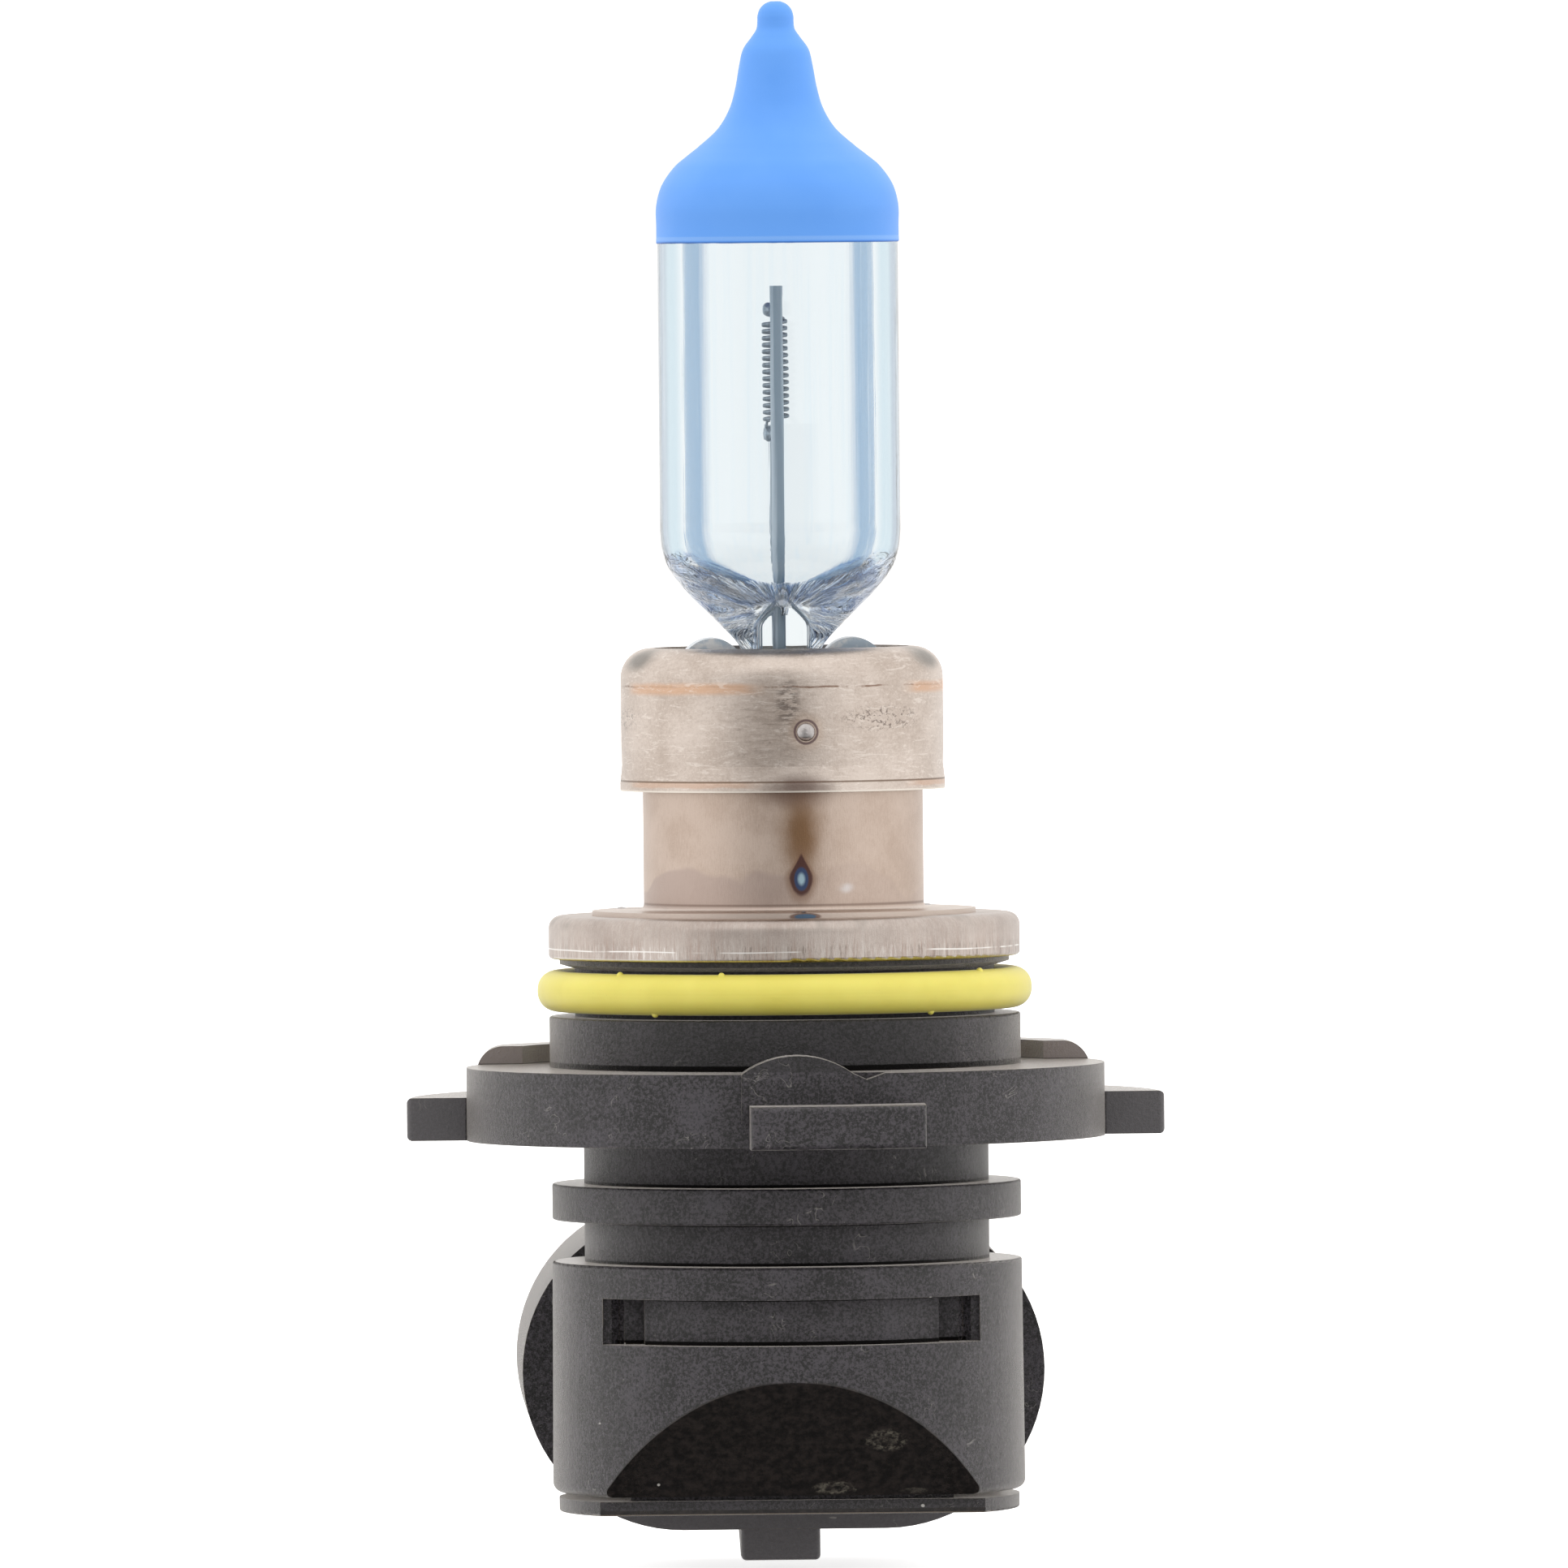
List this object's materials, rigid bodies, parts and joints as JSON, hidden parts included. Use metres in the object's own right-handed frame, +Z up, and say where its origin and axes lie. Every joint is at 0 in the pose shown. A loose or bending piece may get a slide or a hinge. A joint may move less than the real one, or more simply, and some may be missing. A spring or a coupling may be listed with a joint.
{
  "type": "right-angle headlight bulb",
  "caption": "Headlight bulb with a blue-tipped quartz tube, axial coil, flanged metal holder, sealing ring and black bayonet base with a right-angle plug socket.",
  "frame": {"origin": "on the bulb's axis, in the plane of the seating pads on top of the flange, the lamp's reference plane", "axes": "+Z up the glass along the bulb's axis, +Y the way the plug leaves its socket, -Y the plain side of the base"},
  "size_m": [0.0354, 0.0457, 0.0737],
  "materials": {
    "quartz_glass": "clear drawn quartz tube with a faint blue cast",
    "blue_coating": "satin opaque blue coating, dipped on the tip",
    "tungsten": "drawn grey wire",
    "molybdenum": "drawn wire, satin",
    "spring_steel": "bluish heat-treated strip",
    "holder_metal": "plated sheet with a warm heat tint",
    "ring_metal": "plated drawn ring, rubbed bright near its lower edge",
    "black_plastic": "glass-filled moulding with a fine grain",
    "yellow_rubber": "satin silicone",
    "terminal_metal": "tin-plated blade",
    "sealing_compound": "cured potting"
  },
  "bodies": {
    "root": {"glass_envelope": "quartz_glass", "tip_coating": "blue_coating", "filament_coil": "tungsten", "coil_weld_top": "molybdenum", "coil_weld_bottom": "molybdenum", "long_lead_post": "molybdenum", "short_lead_post": "molybdenum", "front_foil": "molybdenum", "rear_foil": "molybdenum", "front_outer_lead": "molybdenum", "rear_outer_lead": "molybdenum", "pinch_clip": "spring_steel", "glass_holder_cup": "holder_metal", "holder_weld_beads": "holder_metal", "locating_sleeve": "holder_metal", "flange_weld_beads": "holder_metal", "base_ring": "ring_metal", "base_housing": "black_plastic", "sealing_ring": "yellow_rubber", "bottom_cover": "black_plastic", "terminal_left": "terminal_metal", "terminal_right": "terminal_metal", "lead_seal": "sealing_compound"}
  },
  "joints": []
}
